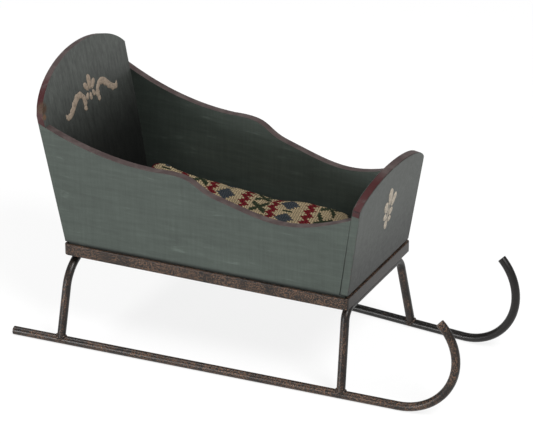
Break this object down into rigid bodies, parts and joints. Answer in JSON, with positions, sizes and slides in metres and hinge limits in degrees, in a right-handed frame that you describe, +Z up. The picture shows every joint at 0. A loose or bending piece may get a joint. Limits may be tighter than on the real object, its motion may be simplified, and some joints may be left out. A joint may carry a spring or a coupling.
{
  "type": "toy horse sleigh",
  "caption": "Toy sleigh with a curved wooden box body on a steel tray, bent-rod legs and curled runners, and a patterned cushion inside.",
  "frame": {"origin": "on the floor, in the middle of the overall length and width", "axes": "+X forward towards the curls, +Y to the sleigh's left, +Z up"},
  "size_m": [0.272, 0.132, 0.1627],
  "materials": {
    "tray_frame": "dark lacquer, rubbed through",
    "rear_leg_hoop": "dark lacquer, rubbed through",
    "front_leg_hoop": "dark lacquer, rubbed through",
    "runner_left": "dark lacquer, rubbed through",
    "runner_right": "dark lacquer, rubbed through",
    "base_board": "painted, worn",
    "side_panel_left": "painted, worn rims",
    "side_panel_right": "painted, worn rims",
    "back_panel": "painted, worn rims",
    "front_panel": "painted, worn rims",
    "cushion": "patterned knit"
  },
  "bodies": {
    "root": {"tray_frame": "tray_frame", "rear_leg_hoop": "rear_leg_hoop", "front_leg_hoop": "front_leg_hoop", "runner_left": "runner_left", "runner_right": "runner_right", "base_board": "base_board", "side_panel_left": "side_panel_left", "side_panel_right": "side_panel_right", "back_panel": "back_panel", "front_panel": "front_panel", "cushion": "cushion"}
  },
  "joints": []
}
